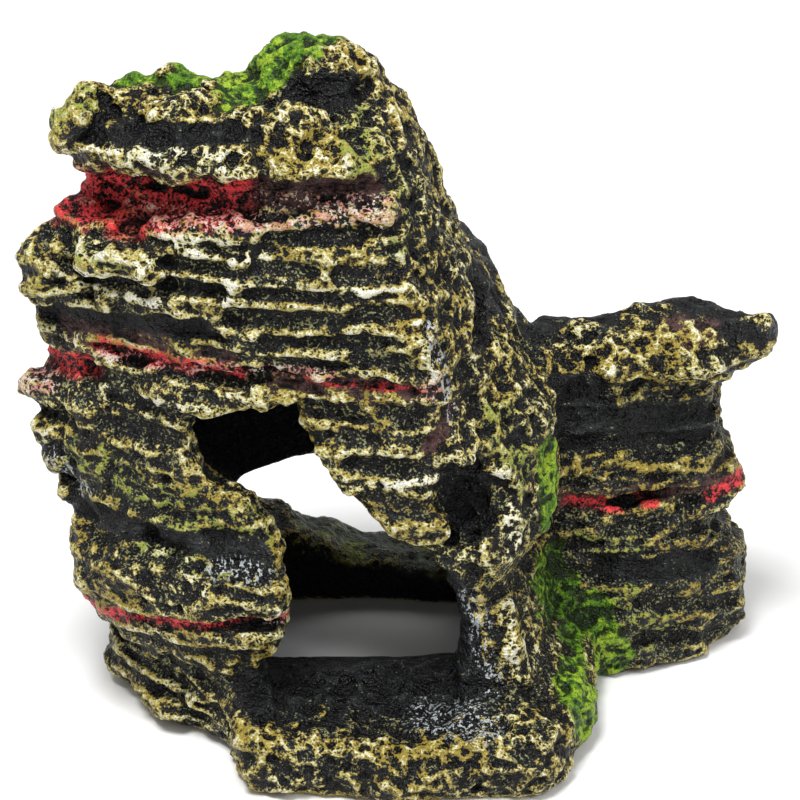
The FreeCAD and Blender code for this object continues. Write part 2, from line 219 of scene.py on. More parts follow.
# Where each paint was brushed on, as strokes like those above.
PAINT = {
    "crimson": [
        on("strata_slab", (0.02, 0.88, 0.86), (0.30, 0.46, 0.93), (4.5, 9, 5.2)),
        (("strata_slab", 0.30, 0.46, 0.94), ("cap_slab", 0.56, 0.10, 0.22), (3.5, 9, 4)),
        on("left_column", (0.06, 0.86, 0.88), (0.29, 0.54, 0.97), (3, 6, 2.6)),
        on("strata_slab", (0.19, 0.46, 0.17), (0.52, 0.19, 0.15), (2.2, 5, 1.9)),
        on("strata_slab", (0.70, 0.10, 0.15), (0.97, 0.05, 0.14), (1.5, 5, 0.5)),
        on("left_boulder", (0.04, 0.62, 0.20), (0.28, 0.33, 0.38), (2.2, 7, 1.7)),
        on("left_boulder", (0.28, 0.33, 0.38), (0.55, 0.14, 0.50), (2, 7, 1.1)),
        on("left_boulder", (0.55, 0.14, 0.50), (1.00, 0.10, 0.58), (2, 7, 1)),
        on("wing_block", (0.25, 0.05, 0.31), (0.58, 0.10, 0.29), (2, 5, 1.3)),
        on("wing_block", (0.84, 0.24, 0.26), (0.95, 0.34, 0.32), (1.6, 5, 1.4)),
    ],
    "pink": [
        on("cap_slab", (0.60, 0.08, 0.16), (0.96, 0.08, 0.14), (2.5, 5, 1.7)),
        (("strata_slab", 0.50, 0.25, 0.92), ("cap_slab", 0.94, 0.09, 0.04), (1.8, 5, 1.2)),
        on("cap_slab", (0.97, 0.08, 0.06), (0.98, 0.08, 0.10), (2.6, 5, 2.4)),
        on("strata_slab", (0.42, 0.24, 0.16), (0.74, 0.07, 0.20), (2, 5, 1.3)),
        on("rough_flank", (0.31, 0.07, 0.43), (0.32, 0.07, 0.44), (2, 5, 2.4)),
        on("left_boulder", (0.92, 0.14, 0.57), (0.98, 0.14, 0.59), (1.6, 5, 1.4)),
        on("left_column", (0.03, 0.80, 0.73), (0.15, 0.67, 0.80), (2, 5, 1.8)),
        on("strata_slab", (0.06, 0.76, 0.84), (0.30, 0.42, 0.88), (2, 6, 0.7)),
        on("strata_slab", (0.30, 0.42, 0.88), (0.52, 0.25, 0.92), (2, 6, 1.2)),
        on("strata_slab", (0.20, 0.46, 0.13), (0.46, 0.22, 0.12), (2, 5, 1.2)),
    ],
    "umber": [
        on("cap_slab", (0.56, 0.10, 0.22), (0.95, 0.08, 0.34), (2.4, 6, 3)),
        on("cap_slab", (0.04, 0.66, 0.30), (0.40, 0.25, 0.44), (2.4, 6, 2.2)),
        on("strata_slab", (0.10, 0.58, 0.20), (0.50, 0.20, 0.20), (2.4, 6, 3)),
        on("strata_slab", (0.62, 0.13, 0.14), (0.97, 0.05, 0.12), (2.4, 6, 2.6)),
        on("left_column", (0.04, 0.86, 0.90), (0.28, 0.54, 0.98), (2.4, 6, 3)),
        (("hanging_curtain", 0.78, 0.07, 0.76), ("rough_flank", 0.42, 0.06, 0.37), (1.7, 4, 1.6)),
        on("wing_block", (0.20, 0.05, 0.34), (0.96, 0.34, 0.34), (2, 5, 2.4)),
        on("wing_cap", (0.58, 0.20, 0.96), (0.72, 0.22, 0.92), (2.4, 5, 2)),
        on("rear_crest", (0.10, 0.40, 0.24), (0.40, 0.74, 0.26), (2.4, 6, 2.2)),
        on("rear_arch", (0.60, 0.90, 0.66), (0.84, 0.74, 0.64), (2.4, 6, 2)),
    ],
    "moss": [
        on("summit_rock", (0.05, 0.30, 0.52), (0.34, 0.40, 0.97), (3.6, 9, 3.4)),
        on("summit_rock", (0.34, 0.45, 0.97), (0.60, 0.68, 1.00), (3, 9, 3)),
        on("cap_slab", (0.26, 0.88, 0.92), (0.62, 0.80, 0.96), (4.5, 5, 5)),
        on("rough_flank", (0.94, 0.42, 0.16), (0.96, 0.45, 0.04), (2.6, 8, 5)),
        on("right_pillar", (0.78, 0.36, 0.80), (0.95, 0.50, 0.10), (3, 6, 4)),
        on("wing_foot", (0.06, 0.05, 0.95), (0.26, 0.02, 0.10), (6, 12, 5)),
        on("wing_foot", (0.30, 0.05, 0.60), (0.40, 0.05, 0.20), (4, 9, 4)),
        on("front_sill", (0.92, 0.60, 0.85), (0.98, 0.40, 0.45), (4, 9, 4)),
    ],
    "lichen": [
        on("strata_slab", (0.02, 0.72, 0.56), (0.05, 0.64, 0.46), (2.6, 6, 3.2)),
        on("strata_slab", (0.92, 0.16, 0.87), (0.94, 0.16, 0.85), (1.4, 5, 1.4)),
        on("strata_slab", (0.12, 0.50, 0.70), (0.26, 0.36, 0.67), (3, 6, 1.2)),
        on("left_column", (0.30, 0.47, 0.39), (0.84, 0.05, 0.12), (6, 9, 5)),
        on("left_boulder", (0.40, 0.30, 0.98), (0.76, 0.20, 0.96), (3, 6, 3)),
        on("cap_slab", (0.02, 0.66, 0.70), (0.10, 0.64, 0.94), (3, 6, 3)),
        on("wing_block", (0.20, 0.05, 0.08), (0.50, 0.08, 0.04), (4, 6, 3)),
        on("rough_flank", (0.66, 0.20, 0.32), (0.80, 0.30, 0.20), (3, 9, 5)),
        on("wing_foot", (0.40, 0.05, 0.80), (0.60, 0.09, 0.30), (4, 9, 4)),
        (("cap_slab", 0.90, 0.20, 0.80), ("rough_flank", 0.16, 0.20, 0.80), (3, 9, 5)),
        on("rear_arch", (0.12, 0.30, 0.40), (0.30, 0.86, 0.24), (5, 8, 5)),
        on("rear_crest", (0.40, 0.44, 0.80), (0.56, 0.60, 0.60), (4, 8, 4)),
        on("wing_foot", (0.40, 0.92, 0.40), (0.70, 0.90, 0.20), (5, 8, 4)),
    ],
    "frost": [
        on("right_pillar", (0.20, 0.08, 0.75), (0.36, 0.06, 0.08), (2.2, 7, 2.5)),
        on("front_sill", (0.50, 0.34, 0.85), (0.67, 0.20, 0.92), (3.6, 6, 3)),
        on("left_column", (0.13, 0.68, 0.36), (0.26, 0.56, 0.20), (2.6, 6, 2.4)),
        on("left_boulder", (0.70, 0.16, 0.92), (0.90, 0.14, 0.92), (2.2, 6, 1.8)),
        on("rough_flank", (0.28, 0.10, 0.56), (0.40, 0.10, 0.36), (1.2, 6, 2)),
    ],
    "cream": [
        on("right_pillar", (0.44, 0.18, 0.58), (0.50, 0.10, 0.20), (1.7, 6, 2)),
        on("right_pillar", (0.58, 0.20, 0.30), (0.64, 0.20, 0.16), (2.2, 6, 2.2)),
        on("cap_slab", (0.06, 0.50, 0.54), (0.30, 0.24, 0.72), (1.5, 5, 0.45)),
        on("cap_slab", (0.30, 0.24, 0.72), (0.58, 0.09, 0.72), (1.6, 5, 0.7)),
        on("strata_slab", (0.14, 0.46, 0.62), (0.30, 0.32, 0.60), (1.8, 5, 1.2)),
        on("cap_slab", (0.80, 0.16, 0.80), (0.86, 0.14, 0.60), (1.3, 5, 1.8)),
        on("strata_slab", (0.36, 0.28, 0.82), (0.58, 0.17, 0.80), (2.4, 5, 1.9)),
        on("strata_slab", (0.52, 0.21, 0.82), (0.51, 0.17, 0.55), (1.3, 5, 1.4)),
        on("strata_slab", (0.15, 0.46, 0.52), (0.33, 0.29, 0.50), (1.6, 5, 1)),
        on("strata_slab", (0.10, 0.54, 0.70), (0.36, 0.28, 0.72), (1.6, 5, 1.4)),
        on("strata_slab", (0.62, 0.14, 0.66), (0.90, 0.06, 0.62), (1.6, 5, 1)),
        on("left_column", (0.52, 0.36, 0.88), (0.74, 0.22, 0.90), (1.4, 5, 1)),
        on("left_boulder", (0.42, 0.30, 0.98), (0.58, 0.22, 0.94), (2, 5, 1.5)),
        on("left_boulder", (0.49, 0.28, 0.96), (0.66, 0.10, 0.80), (0.9, 5, 0.9)),
        on("rough_flank", (0.66, 0.20, 0.20), (0.74, 0.15, 0.04), (1.4, 6, 2)),
        on("hanging_curtain", (0.32, 0.17, 0.52), (0.90, 0.05, 0.62), (0.9, 5, 0.7)),
        on("rough_flank", (0.22, 0.11, 0.58), (0.33, 0.11, 0.44), (1.2, 5, 2)),
    ],
    "ochre": [
        on("cap_slab", (0.32, 0.44, 0.95), (0.48, 0.50, 0.96), (3, 6, 2.6)),
        on("cap_slab", (0.56, 0.10, 0.72), (0.84, 0.16, 0.76), (3, 6, 2.6)),
        on("cap_slab", (0.05, 0.62, 0.94), (0.14, 0.60, 0.92), (3, 6, 2)),
        on("summit_rock", (0.57, 0.41, 1.00), (0.78, 0.36, 0.92), (3.5, 6, 3)),
        on("summit_rock", (0.85, 0.42, 0.80), (0.97, 0.25, 0.30), (1.8, 6, 2.4)),
        on("strata_slab", (0.82, 0.10, 0.84), (0.95, 0.08, 0.50), (3, 6, 4)),
        on("rough_flank", (0.51, 0.95, 0.56), (0.56, 0.80, 0.54), (2, 6, 2.4)),
        on("rough_flank", (0.46, 0.49, 0.57), (0.51, 0.40, 0.49), (1.6, 6, 2)),
        on("rough_flank", (0.62, 0.36, 0.37), (0.66, 0.36, 0.33), (2.2, 6, 2.4)),
        on("wing_cap", (0.32, 0.06, 0.66), (0.46, 0.16, 0.92), (2.4, 3.6, 2.4)),
        on("wing_cap", (0.46, 0.12, 0.82), (0.72, 0.20, 0.86), (2.4, 3.6, 2.6)),
        on("wing_cap", (0.46, 0.06, 0.36), (0.74, 0.22, 0.12), (2, 4, 1.7)),
        on("wing_cap", (0.86, 0.24, 0.70), (0.96, 0.30, 0.72), (2, 4, 1.6)),
        on("wing_block", (0.18, 0.08, 0.58), (0.80, 0.26, 0.48), (1.8, 6, 1.6)),
        on("wing_block", (0.88, 0.28, 0.42), (0.98, 0.40, 0.36), (2.4, 6, 2.2)),
        on("front_sill", (0.00, 0.22, 0.88), (0.12, 0.18, 0.84), (1.4, 5, 1.3)),
        on("front_sill", (0.12, 0.18, 0.84), (0.24, 0.05, 0.74), (1.4, 5, 1.3)),
        on("front_sill", (0.24, 0.05, 0.74), (0.54, 0.05, 0.74), (1.6, 5, 1.4)),
        on("front_sill", (0.54, 0.05, 0.74), (0.74, 0.16, 0.84), (1.8, 5, 1.6)),
        on("front_sill", (0.04, 0.10, 0.03), (0.78, 0.06, 0.03), (1.6, 5, 0.9)),
        on("left_boulder", (0.14, 0.50, 0.40), (0.36, 0.24, 0.60), (2.4, 6, 2)),
        on("left_boulder", (0.10, 0.40, 0.20), (0.90, 0.06, 0.34), (2, 6, 2.4)),
        on("left_foot_slab", (0.60, 0.42, 0.50), (0.90, 0.30, 0.60), (3, 6, 1.6)),
        on("left_column", (0.28, 0.51, 0.10), (0.42, 0.33, 0.13), (2.4, 6, 1.8)),
        on("left_column", (0.29, 0.46, 0.46), (0.38, 0.38, 0.48), (1.4, 4, 0.9)),
        on("left_column", (0.47, 0.31, 0.40), (0.53, 0.28, 0.40), (1.4, 4, 0.9)),
        on("left_column", (0.63, 0.18, 0.38), (0.69, 0.16, 0.37), (1.4, 4, 0.8)),
        on("left_column", (0.06, 0.74, 0.50), (0.22, 0.56, 0.54), (2, 6, 1.2)),
    ],
    "grey": [
        on("rear_sill", (0.26, 0.84, 0.98), (0.48, 0.84, 0.90), (5, 8, 4)),
        on("rear_sill", (0.48, 0.84, 0.80), (0.70, 0.80, 0.62), (5, 9, 4)),
    ],
    "bare": [
        on("front_sill", (0.08, 0.62, 1.00), (0.56, 0.56, 1.00), (8, 14, 5)),
        on("right_pillar", (0.05, 0.14, 0.90), (0.24, 0.10, 0.05), (3, 9, 4)),
        on("rough_flank", (0.48, 0.10, 0.18), (0.52, 0.14, 0.12), (5, 6, 6.6)),
        on("rough_flank", (0.56, 0.72, 0.55), (0.58, 0.50, 0.49), (3, 5, 4)),
        on("strata_slab", (0.06, 0.66, 0.27), (0.44, 0.21, 0.38), (2.4, 5, 2.4)),
        on("cap_slab", (0.05, 0.60, 0.68), (0.40, 0.25, 0.86), (2.4, 5, 2)),
        on("cap_slab", (0.40, 0.25, 0.86), (0.60, 0.20, 0.86), (2.4, 5, 1.6)),
        on("cap_slab", (0.58, 0.10, 0.38), (0.96, 0.10, 0.38), (2.4, 5, 2.2)),
        on("summit_rock", (0.46, 0.10, 0.70), (0.70, 0.12, 0.74), (2.6, 4, 3)),
        on("left_column", (0.24, 0.48, 0.06), (0.92, 0.04, 0.04), (3, 6, 2.6)),
        on("wing_block", (0.17, 0.08, 0.90), (0.80, 0.28, 0.72), (2.6, 6, 4.2)),
        on("wing_cap", (0.06, 0.34, 0.80), (0.34, 0.40, 0.98), (3.4, 6, 3.4)),
        on("rear_crest", (0.80, 0.58, 0.40), (0.92, 0.58, 0.22), (3.5, 10, 5)),
        on("rough_flank", (0.56, 0.82, 0.56), (0.66, 0.82, 0.48), (2.6, 5, 3.4)),
        on("wing_cap", (0.50, 0.56, 1.00), (0.78, 0.50, 1.00), (3.4, 6, 2.4)),
        on("wing_cap", (0.80, 0.30, 0.94), (0.96, 0.34, 0.90), (3, 6, 2)),
        on("wing_cap", (0.04, 0.06, 0.30), (0.30, 0.05, 0.30), (2.6, 6, 2.4)),
        on("wing_foot", (0.34, 0.09, 0.90), (0.80, 0.24, 0.76), (2.6, 6, 2.4)),
    ],
}


# ---------------------------------------------------------------- random fields

def smooth(low, high, value):
    """0 below low, 1 above high, smooth between."""
    t = np.clip((value - low) / (high - low), 0.0, 1.0)
    return t * t * (3.0 - 2.0 * t)


def random_table(seed):
    return np.random.default_rng(seed).uniform(-1.0, 1.0, TABLE ** 3).astype(np.float32)


def lookup(table, i, j, k):
    mask = TABLE - 1
    return table[((i & mask) * TABLE + (j & mask)) * TABLE + (k & mask)]


def lattice(points, cell, seed):
    """Smooth noise in -1..1 with lattice cells of the given size, (x, y, z) or one number."""
    table = random_table(seed)
    q = points / np.asarray(cell, np.float32) + np.float32(TABLE)
    base = np.floor(q)
    f = (q - base).astype(np.float32)
    f = f * f * (3.0 - 2.0 * f)
    base = base.astype(np.int32)
    i, j, k = base[:, 0], base[:, 1], base[:, 2]
    u, v, w = f[:, 0], f[:, 1], f[:, 2]
    total = np.zeros(len(points), np.float32)
    for di in (0, 1):
        wi = u if di else 1.0 - u
        for dj in (0, 1):
            wij = wi * (v if dj else 1.0 - v)
            for dk in (0, 1):
                total += wij * (w if dk else 1.0 - w) * lookup(table, i + di, j + dj, k + dk)
    return total


def fractal(points, cell, octaves, seed):
    """Octaves of lattice noise, each half as large and half as strong."""
    cell = np.asarray(cell, np.float32)
    total = np.zeros(len(points), np.float32)
    for octave in range(octaves):
        total += lattice(points, cell / 2 ** octave, seed + octave) / 2 ** octave
    return total


def cells(points, cell, seed):
    """Distances to the nearest and second nearest random seed, in cells, and the nearest one's own number."""
    tables = [random_table(seed + n) for n in range(4)]
    q = points / np.asarray(cell, np.float32) + np.float32(TABLE)
    base = np.floor(q - 0.5).astype(np.int32)
    nearest = np.full(len(points), 9.0, np.float32)
    second = np.full(len(points), 9.0, np.float32)
    number = np.zeros(len(points), np.float32)
    for di in (0, 1):
        for dj in (0, 1):
            for dk in (0, 1):
                ijk = (base[:, 0] + di, base[:, 1] + dj, base[:, 2] + dk)
                square = np.zeros(len(points), np.float32)
                for axis in range(3):
                    seed_at = ijk[axis] + 0.5 + 0.42 * lookup(tables[axis], *ijk)
                    square += (q[:, axis] - seed_at) ** 2
                closer = square < nearest
                second = np.where(closer, nearest, np.minimum(second, square))
                number = np.where(closer, lookup(tables[3], *ijk), number)
                nearest = np.where(closer, square, nearest)
    return np.sqrt(nearest), np.sqrt(second), number


# ---------------------------------------------------------------- the shared distance field

NAMES = sorted(frame["nodes"])
BOXES = {name: tuple(np.array(corner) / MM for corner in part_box(name)) for name in NAMES}
LOW = np.array(cad_bounds[0]) / MM - MARGIN
SHAPE = tuple(np.ceil((np.array(cad_bounds[1]) / MM + MARGIN - LOW) / VOXEL).astype(int))


def transform_at(corner):
    """Grid cell (0, 0, 0) at the given corner, in millimetres."""
    x, y, z = (float(v) for v in corner)
    return vdb.createLinearTransform([[VOXEL, 0, 0, 0], [0, VOXEL, 0, 0], [0, 0, VOXEL, 0], [x, y, z, 1]])


def distance_to(points, triangles=None, quads=None, band=BAND, start=(0, 0, 0), shape=SHAPE):
    """Signed distance to a closed surface, on the block of the shared grid that starts at start."""
    grid = vdb.FloatGrid.createLevelSetFromPolygons(
        points.astype(np.float32), triangles=triangles, quads=quads,
        transform=transform_at(LOW), halfWidth=band / VOXEL)
    block = np.empty(shape, np.float32)
    grid.copyToArray(block, ijk=tuple(int(v) for v in start))
    return block


def polygons_of(block, start=(0, 0, 0)):
    """The zero surface of a block of the shared grid: points, triangles and quads."""
    grid = vdb.FloatGrid(BAND)
    grid.transform = transform_at(LOW + np.array(start) * VOXEL)
    grid.copyFromArray(np.ascontiguousarray(block, np.float32))
    return grid.convertToPolygons(isovalue=0.0, adaptivity=0.0)


def redistanced(points, triangles, quads):
    """The whole field again, from a surface whose points have moved."""
    return distance_to(points, triangles=triangles if len(triangles) else None, quads=quads, band=SKIN_BAND)


def blurred(block, sigma):
    """Gaussian blur with the given sigma, in millimetres."""
    sigma = sigma / VOXEL
    reach = int(math.ceil(2.5 * sigma))
    weights = np.exp(-0.5 * (np.arange(-reach, reach + 1) / sigma) ** 2)
    weights = (weights / weights.sum()).astype(np.float32)
    for axis in range(3):
        pad = [(reach, reach) if a == axis else (0, 0) for a in range(3)]
        padded = np.pad(block, pad, mode="edge")
        out = np.zeros_like(block)
        for n, weight in enumerate(weights):
            cut = [slice(None)] * 3
            cut[axis] = slice(n, n + block.shape[axis])
            out += weight * padded[tuple(cut)]
        block = out
    return block


def sample(block, points, low=LOW, step=VOXEL):
    """Trilinear samples of a block at points in millimetres."""
    shape = block.shape
    q = np.clip((points - low) / step, 0.0, np.array(shape) - 1.001)
    base = np.floor(q).astype(np.int64)
    f = (q - base).astype(np.float32)
    flat = block.reshape(-1)
    index = (base[:, 0] * shape[1] + base[:, 1]) * shape[2] + base[:, 2]
    total = np.zeros(len(points), np.float32)
    for di in (0, 1):
        wi = f[:, 0] if di else 1 - f[:, 0]
        for dj in (0, 1):
            wij = wi * (f[:, 1] if dj else 1 - f[:, 1])
            for dk in (0, 1):
                offset = (di * shape[1] + dj) * shape[2] + dk
                total += wij * (f[:, 2] if dk else 1 - f[:, 2]) * flat[index + offset]
    return total


def gradient_at(block, points):
    """Unit outward direction of a distance field at points."""
    out = np.empty(points.shape, np.float32)
    for axis in range(3):
        offset = np.zeros(3)
        offset[axis] = VOXEL
        out[:, axis] = sample(block, points + offset) - sample(block, points - offset)
    length = np.linalg.norm(out, axis=1, keepdims=True)
    return out / np.maximum(length, 1e-6)


def node_block(name):
    """Start and shape of the block of the shared grid around a casting."""
    low, high = BOXES[name]
    start = np.maximum(np.floor((low - BAND - LOW) / VOXEL).astype(int), 0)
    end = np.minimum(np.ceil((high + BAND - LOW) / VOXEL).astype(int) + 1, SHAPE)
    return start, tuple(end - start)


def node_polygons(name):
    """A casting's points in millimetres and its triangles."""
    mesh = frame["nodes"][name].data
    mesh.calc_loop_triangles()
    points = np.empty(len(mesh.vertices) * 3, np.float32)
    mesh.vertices.foreach_get("co", points)
    triangles = np.empty(len(mesh.loop_triangles) * 3, np.int32)
    mesh.loop_triangles.foreach_get("vertices", triangles)
    return points.reshape(-1, 3) / MM, triangles.reshape(-1, 3).astype(np.uint32)


def window(start, shape):
    return tuple(slice(s, s + n) for s, n in zip(start, shape))


own_distance = {}
nearest_distance = np.full(SHAPE, BAND, np.float32)
second_distance = np.full(SHAPE, BAND, np.float32)
for name in NAMES:
    start, shape = node_block(name)
    points, triangles = node_polygons(name)
    distance = distance_to(points, triangles=triangles, start=start, shape=shape)
    own_distance[name] = (start, distance)
    part = window(start, shape)
    second_distance[part] = np.minimum(second_distance[part], np.maximum(nearest_distance[part], distance))
    nearest_distance[part] = np.minimum(nearest_distance[part], distance)


# ---------------------------------------------------------------- strokes

def place(point):
    """A casting and fractions of its box, as millimetres."""
    low, high = BOXES[point[0]]
    return low + np.array(point[1:]) * (high - low)


def along(points, stroke):
    """How far points are from a stroke's middle line, 1 at its half width."""
    start, end, size = stroke
    size = np.array(size)
    a, b = place(start) / size, place(end) / size
    q = points / size - a
    line = b - a
    t = np.clip(q @ line / (line @ line), 0.0, 1.0)
    return np.linalg.norm(q - t[:, None] * line, axis=1).astype(np.float32)


def sculpt(field, strokes, sign, soft):
    """Adds strokes to a distance field (sign 1) or cuts them out of it (sign -1), with soft joins."""
    for stroke in strokes:
        ends = np.array([place(stroke[0]), place(stroke[1])])
        reach = np.array(stroke[2]) + 2.5
        first = np.maximum(np.floor((ends.min(0) - reach - LOW) / VOXEL).astype(int), 0)
        last = np.minimum(np.ceil((ends.max(0) + reach - LOW) / VOXEL).astype(int), SHAPE)
        part = window(first, last - first)
        grid = np.stack(np.meshgrid(*[np.arange(a, b) for a, b in zip(first, last)], indexing="ij"), axis=-1)
        points = (LOW + grid.reshape(-1, 3) * VOXEL).astype(np.float32)
        wobble = 0.3 * fractal(points, 3.4, 2, 5)
        away = (along(points, stroke) - 1 + wobble) * min(stroke[2])
        away = away.reshape(field[part].shape)
        here = field[part] * sign
        blend = np.maximum(soft - np.abs(here - away), 0.0) / soft
        field[part] = (np.minimum(here, away) - blend * blend * soft / 4) * sign


def covered(points, strokes, rough, seed):
    """1 inside any of the strokes, 0 outside, with wandering edges."""
    wander = rough * fractal(points, 2.6, 2, seed)
    total = np.zeros(len(points), np.float32)
    for stroke in strokes:
        ends = np.array([place(stroke[0]), place(stroke[1])])
        reach = 1.6 * np.array(stroke[2])
        near = np.flatnonzero(np.all((points > ends.min(0) - reach) & (points < ends.max(0) + reach), axis=1))
        if len(near):
            inside = 1 - smooth(0.55, 1.15, along(points[near], stroke) + wander[near])
            total[near] = np.maximum(total[near], inside)
    return total


# One skin around all the castings, without the faces where they meet.
CLOSE = 0.25  # fills the faces between castings
SOFT = 1.6  # how softly a hump joins the rock
CRISP = 0.8  # the same for a hollow
skin = redistanced(*polygons_of(nearest_distance - CLOSE)) + CLOSE
skin = blurred(skin, 1.0)
sculpt(skin, HUMPS, 1, SOFT)
sculpt(skin, HOLLOWS, -1, CRISP)
skin = blurred(redistanced(*polygons_of(skin)), 0.5)


# ---------------------------------------------------------------- how open each place is

COARSE = 2.0  # edge of a cell that openness is worked out in
PROBE = 2.4  # how far outside the surface it is read
DIRECTIONS = [(i, j, k) for i in (-1, 0, 1) for j in (-1, 0, 1) for k in (0, 1) if (i, j, k) != (0, 0, 0)]


def open_sky():
    """For each coarse cell, the share of upward and sideways directions with no rock in the way."""
    step = int(round(COARSE / VOXEL))
    solid = skin[::step, ::step, ::step] < 0
    free = np.zeros(solid.shape, np.float32)
    for direction in DIRECTIONS:
        blocked = solid.copy()
        for _ in range(max(solid.shape)):
            shifted = np.zeros_like(blocked)
            source = tuple(slice(max(d, 0), n + min(d, 0)) for d, n in zip(direction, solid.shape))
            target = tuple(slice(max(-d, 0), n - max(d, 0)) for d, n in zip(direction, solid.shape))
            shifted[target] = blocked[source]
            merged = blocked | shifted
            if (merged == blocked).all():
                break
            blocked = merged
        free += ~blocked
    return free / len(DIRECTIONS), step * VOXEL


openness, open_step = open_sky()


def openness_at(points, normals):
    """How open the space just outside a surface point is."""
    return sample(openness, points + PROBE * normals, step=open_step)


# ---------------------------------------------------------------- carving

def blend_weights(table, points):
    """A casting's value from a table, blended over a millimetre or two where castings meet."""
    total = np.zeros(len(points), np.float32)
    weight = np.full(len(points), 1e-4, np.float32)
    for name in NAMES:
        start, distance = own_distance[name]
        ijk = np.rint((points - LOW) / VOXEL - start).astype(int)
        inside = np.all((ijk >= 0) & (ijk < distance.shape), axis=1)
        ijk = ijk[inside]
        near = np.exp(-np.maximum(distance[ijk[:, 0], ijk[:, 1], ijk[:, 2]], 0.0) / 0.8)
        near *= near > 0.006
        total[inside] += table[name] * near
        weight[inside] += near
    return total / weight


def bedded_points(points):
    """Points with the gently warped beds laid level."""
    warp = 2.2 * lattice(points, (38, 38, 26), 11) + 0.9 * lattice(points, (13, 13, 8), 12)
    return np.stack([points[:, 0], points[:, 1], points[:, 2] + warp], axis=1)


def web(points, cell, seed, width):
    """1 on the thin walls between random cells, 0 inside them, and the cell's own number."""
    nearest, second, number = cells(points, cell, seed)
    return 1 - smooth(0.0, width, second - nearest), number


def pits(points, cell, seed, width):
    """1 in the middle of a round pit, 0 outside; pits differ in size and only some cells have one."""
    nearest, _, number = cells(points, cell, seed)
    size = width * np.clip(0.65 + 0.75 * number, 0.0, 1.0)
    return 1 - smooth(0.5, 1.0, nearest / np.maximum(size, 1e-3))


def large_relief(points, sky):
    """Lumps, flutes and crust: how far the rock stands out (+) or in (-), in millimetres."""
    bedded = blend_weights(BEDDED, points)
    crusty = blend_weights(CRUSTY, points)
    outdoors = smooth(0.12, 0.34, sky)
    bed = bedded_points(points)
    lumps = 0.8 * lattice(points, 15, 21) + 0.45 * lattice(points, 7, 22)
    wall, number = web(bed, (17, 17, 3.8), 31, 0.36)
    flutes = 1.7 * wall - 0.85 + 0.5 * number
    wall, number = web(points + 1.2 * np.stack([lattice(points, 4.0, 71 + n) for n in range(3)], 1),
                       (4.6, 4.6, 5.2), 51, 0.45)
    crust = 1.1 * wall - 0.55 + 0.7 * number
    scoop = covered(points, FLUTES, 0.12, 7)
    total = bedded * flutes + crusty * crust
    total = total * (1 - scoop) - 1.15 * scoop
    return lumps * (0.35 + 0.65 * outdoors) + outdoors * total


def small_relief(points, sky):
    """Thin ledges, fine web, pits and grain."""
    bedded = blend_weights(BEDDED, points)
    crusty = blend_weights(CRUSTY, points)
    outdoors = smooth(0.12, 0.34, sky)
    bed = bedded_points(points)
    calm = covered(points, FLUTES + PAINT["bare"] + PAINT["crimson"], 0.1, 7)
    ledges, _ = web(bed, (6.0, 6.0, 1.7), 41, 0.5)
    warped = points + 0.7 * np.stack([lattice(points, 2.2, 81 + n) for n in range(3)], 1)
    fine, _ = web(warped, (2.0, 2.0, 2.2), 46, 0.5)
    streaks = lattice(bed, (7.0, 7.0, 0.8), 56)
    holes = np.maximum(pits(points, 3.4, 61, 0.3), 0.7 * pits(points, 1.8, 65, 0.38))
    grain = fractal(points, 1.1, 2, 69)
    total = (bedded * (0.6 * ledges - 0.2) * (1 - 0.9 * calm)
             + crusty * (0.6 * fine - 0.25) * (1 - 0.85 * calm)
             + bedded * 0.12 * streaks - 0.95 * holes * (1 - 0.7 * calm) + 0.14 * grain)
    return total * (0.25 + 0.75 * outdoors)


def carved(field, relief, soften):
    """A distance field with relief pushed out of and into its surface."""
    points, triangles, quads = polygons_of(field)
    normals = gradient_at(field, points)
    sky = openness_at(points, normals)
    lift = np.zeros(len(points), np.float32)
    for part in np.array_split(np.arange(len(points)), max(1, len(points) // BATCH)):
        lift[part] = relief(points[part], sky[part])
    lift *= smooth(0.0, 2.0, points[:, 2])
    result = redistanced(points + normals * lift[:, None], triangles, quads)
    return blurred(result, soften) if soften else result


skin = carved(skin, large_relief, 0.25)
skin = carved(skin, small_relief, 0.0)
# The rocks stand on flat cut feet.
height = (LOW[2] + np.arange(SHAPE[2]) * VOXEL).astype(np.float32)
skin = np.maximum(skin, -height[None, None, :])
soft_fine = blurred(skin, 0.55)
soft_wide = blurred(skin, 1.8)


# ---------------------------------------------------------------- meshes

GAP = 0.03  # between castings inside the rock
LIP = 1.5 * VOXEL  # how far they lap at the skin


def mesh_from(name, points, triangles, quads, attributes):
    mesh = bpy.data.meshes.new(name)
    loops = np.concatenate([triangles.ravel(), quads.ravel()]).astype(np.int32)
    totals = np.concatenate([np.full(len(triangles), 3), np.full(len(quads), 4)])
    starts = np.concatenate([[0], np.cumsum(totals)[:-1]]).astype(np.int32)
    mesh.vertices.add(len(points))
    mesh.vertices.foreach_set("co", (points * MM).astype(np.float32).ravel())
    mesh.loops.add(len(loops))
    mesh.loops.foreach_set("vertex_index", loops)
    mesh.polygons.add(len(totals))
    mesh.polygons.foreach_set("loop_start", starts)
    mesh.update(calc_edges=True)
    mesh.polygons.foreach_set("use_smooth", np.ones(len(totals), bool))
    for key, values in attributes.items():
        mesh.attributes.new(key, "FLOAT", "POINT").data.foreach_set("value", values.astype(np.float32))
    return mesh


